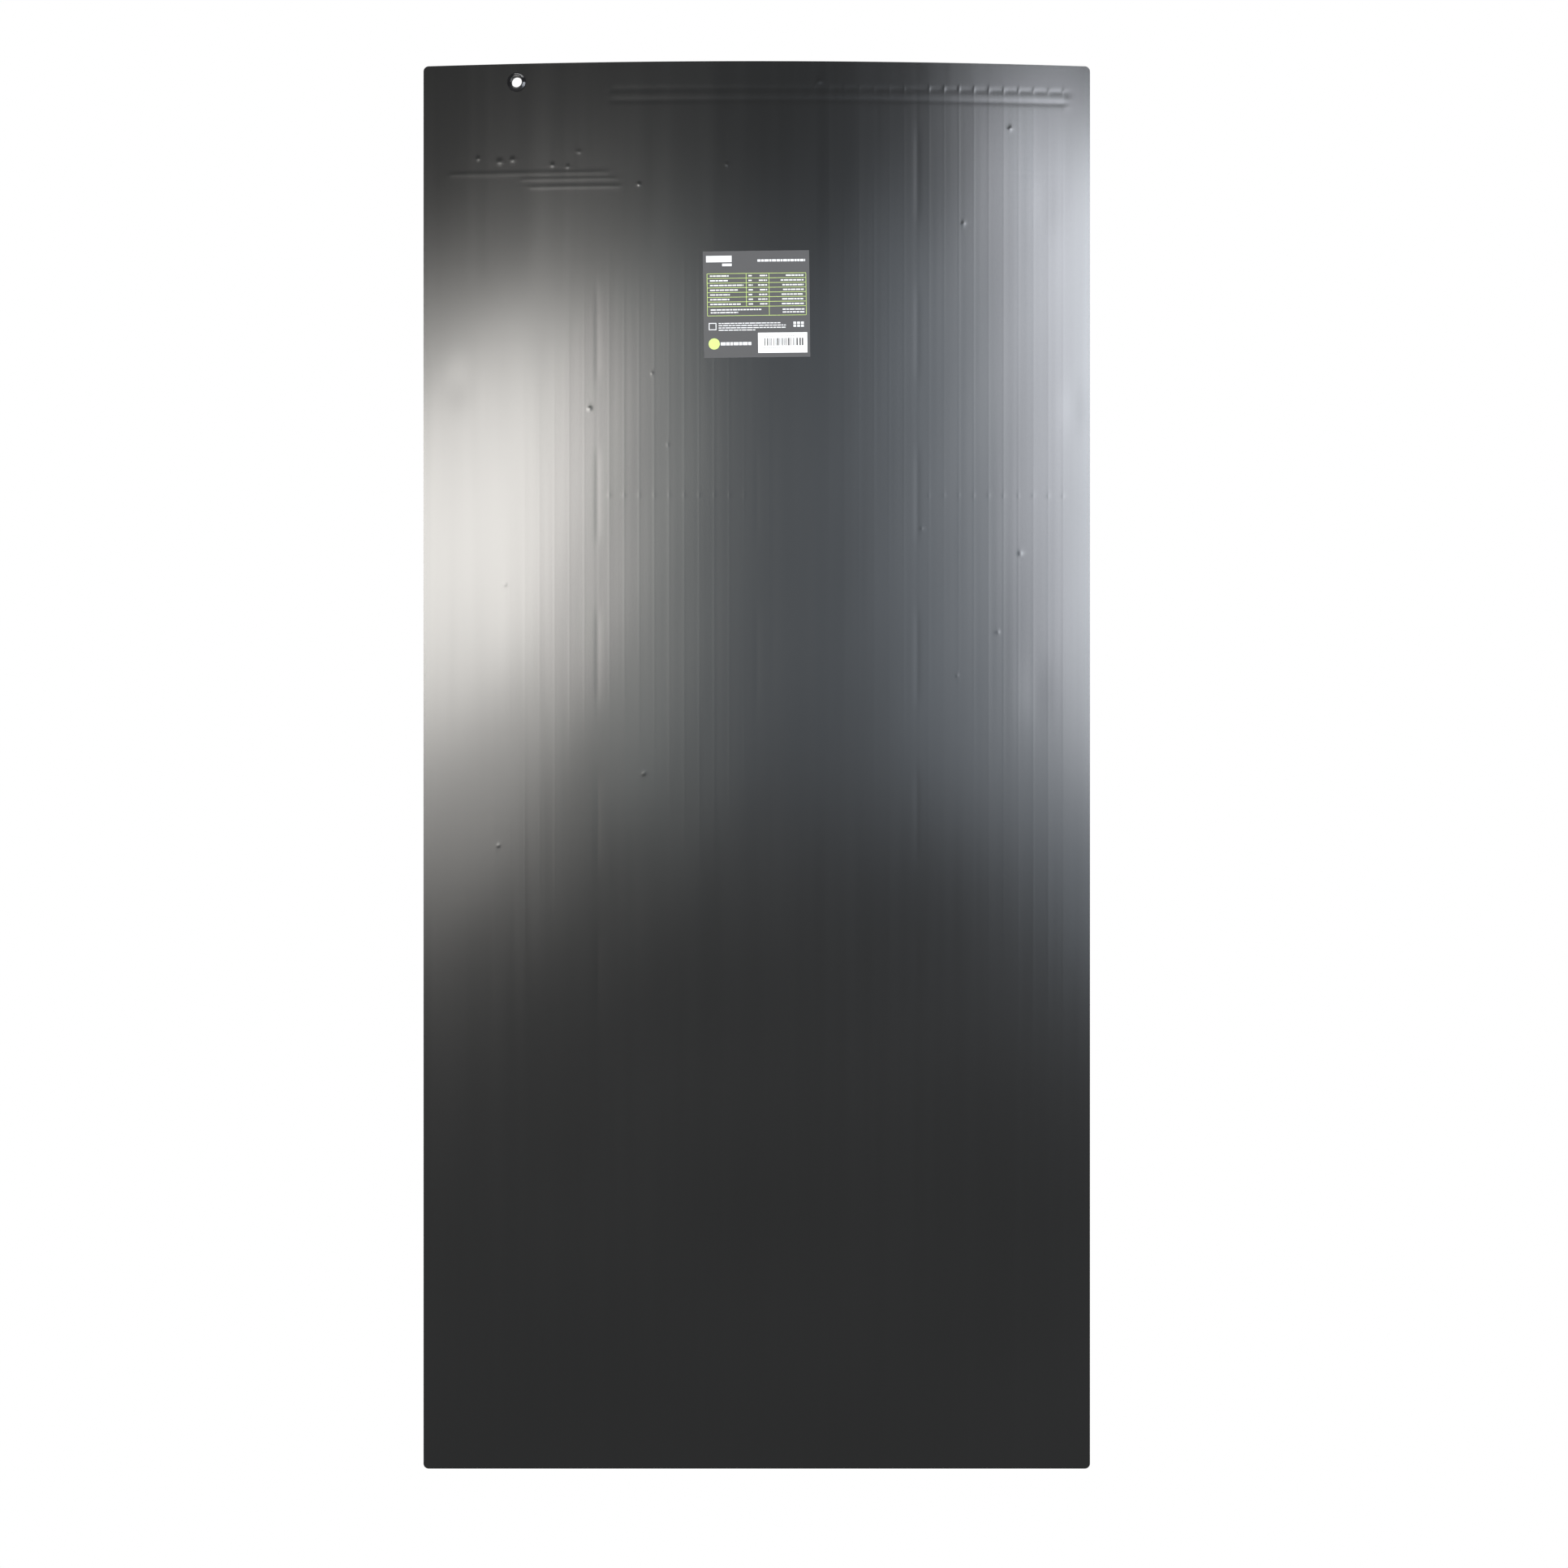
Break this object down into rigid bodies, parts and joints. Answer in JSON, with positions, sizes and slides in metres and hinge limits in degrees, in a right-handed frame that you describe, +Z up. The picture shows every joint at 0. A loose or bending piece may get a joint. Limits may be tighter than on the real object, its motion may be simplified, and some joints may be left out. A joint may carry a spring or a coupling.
{
  "type": "flexible solar sheet",
  "caption": "Thin bendable solar laminate, held upright and bowed, with a black back, embedded cells, a corner eyelet, a rating label and a front junction box.",
  "frame": {"origin": "middle of the bottom edge in width, at the level of that edge, midway in depth between the crest of the bow at the back and the front of the junction box lid", "axes": "+X across the sheet, to the right seen from its back; +Y out of the sunny front; +Z up the length of the sheet, towards the junction box end"},
  "size_m": [0.77, 0.0432, 1.62],
  "materials": {
    "back_film": "satin black polymer film, fine calendered grain",
    "glass_fibre": "woven glass-fibre board, pale green",
    "encapsulant": "clear cast resin film",
    "tinned_copper": "tin-coated copper ribbon",
    "silicon": "dark blue-black monocrystalline wafer",
    "front_film": "clear embossed fluoropolymer film",
    "label_grey": "matt grey printed polyester label",
    "white_paper": "matt white coated paper",
    "black_lacquer": "glossy black lacquered brass",
    "box_plastic": "spark-eroded black moulding",
    "grey_foam": "grey acrylic foam tape",
    "black_rubber": "black EPDM",
    "plated_copper": "plated copper alloy",
    "diode_epoxy": "moulded black epoxy"
  },
  "bodies": {
    "strip_2": {"back_sheet_2": "back_film", "support_sheet_2": "glass_fibre", "rear_encapsulant_2": "encapsulant", "ribbon_comb_2": "tinned_copper", "cell_string_2": "silicon", "front_encapsulant_2": "encapsulant", "front_film_2": "front_film", "rating_label": "label_grey", "top_link_2_to_3": "tinned_copper", "return_ribbon": "tinned_copper", "bottom_link_1_to_2": "tinned_copper"},
    "strip_1": {"back_sheet_1": "back_film", "support_sheet_1": "glass_fibre", "rear_encapsulant_1": "encapsulant", "ribbon_comb_1": "tinned_copper", "cell_string_1": "silicon", "front_encapsulant_1": "encapsulant", "front_film_1": "front_film", "eyelet_barrel": "black_lacquer", "eyelet_washer": "black_lacquer", "box_pad": "grey_foam", "box_tray": "box_plastic", "box_gasket": "black_rubber", "box_terminal_1": "plated_copper", "box_terminal_2": "plated_copper", "box_terminal_3": "plated_copper", "box_terminal_4": "plated_copper", "bypass_diode_1": "diode_epoxy", "bypass_diode_2": "diode_epoxy", "bypass_diode_3": "diode_epoxy", "cable_gland_left": "black_rubber", "cable_gland_right": "black_rubber", "tail_ribbon_left": "tinned_copper", "tail_ribbon_right": "tinned_copper"},
    "strip_3": {"back_sheet_3": "back_film", "support_sheet_3": "glass_fibre", "rear_encapsulant_3": "encapsulant", "ribbon_comb_3": "tinned_copper", "cell_string_3": "silicon", "front_encapsulant_3": "encapsulant", "front_film_3": "front_film", "barcode_sticker": "white_paper", "bottom_link_3_to_4": "tinned_copper"},
    "strip_4": {"back_sheet_4": "back_film", "support_sheet_4": "glass_fibre", "rear_encapsulant_4": "encapsulant", "ribbon_comb_4": "tinned_copper", "cell_string_4": "silicon", "front_encapsulant_4": "encapsulant", "front_film_4": "front_film"},
    "lid": {"box_lid": "box_plastic"}
  },
  "joints": [
    {"name": "flex_line_1", "type": "hinge", "parent": "strip_2", "child": "strip_1", "pos_m": [-0.184, -0.00559, 0.81], "axis": [0, 0.0114, -0.9999], "range_deg": [-10, 8], "stiffness_Nm_per_rad": 45, "deforming": ["bottom_link_1_to_2"]},
    {"name": "flex_line_2", "type": "hinge", "parent": "strip_2", "child": "strip_3", "pos_m": [0, -0.00833, 0.81], "axis": [0, -0.0148, 0.9999], "range_deg": [-10, 8], "stiffness_Nm_per_rad": 45, "deforming": ["rating_label", "top_link_2_to_3", "return_ribbon"]},
    {"name": "flex_line_3", "type": "hinge", "parent": "strip_3", "child": "strip_4", "pos_m": [0.184, -0.00559, 0.81], "axis": [0, -0.0114, 0.9999], "range_deg": [-10, 8], "stiffness_Nm_per_rad": 45, "deforming": ["bottom_link_3_to_4"]},
    {"name": "lid_snap", "type": "slide", "parent": "strip_1", "child": "lid", "axis": [0.0825, 0.9966, 0.0075], "range_m": [0, 0.03]}
  ]
}
